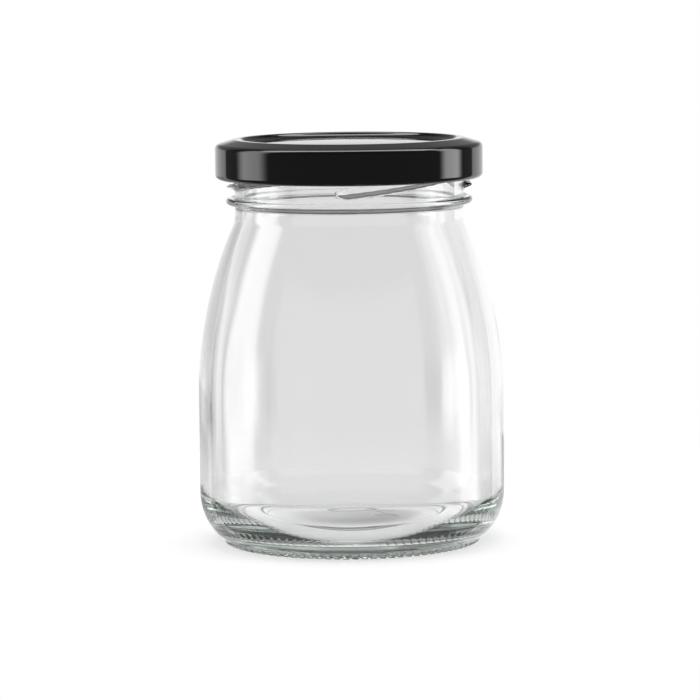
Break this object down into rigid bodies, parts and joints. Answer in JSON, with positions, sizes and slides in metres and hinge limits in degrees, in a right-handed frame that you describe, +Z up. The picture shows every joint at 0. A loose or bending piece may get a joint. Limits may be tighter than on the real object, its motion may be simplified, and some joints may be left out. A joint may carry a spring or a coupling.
{
  "type": "glass pudding jar",
  "caption": "Clear glass dessert jar with a tapered shoulder, beaded neck and screw ridges, closed by a shallow black lacquered metal twist-off lid.",
  "frame": {"origin": "middle of the ring that the jar stands on, on the table", "axes": "+Z up along the jar's axis, -Y the front, +X to the right seen from the front"},
  "size_m": [0.1438, 0.1438, 0.19],
  "materials": {
    "clear_glass": "polished, blow-moulded, clear with a faint green in its thick places",
    "black_lacquered_tinplate": "gloss black lacquer on pressed tinplate"
  },
  "bodies": {
    "root": {"glass_jar": "clear_glass", "lid": "black_lacquered_tinplate"}
  },
  "joints": []
}
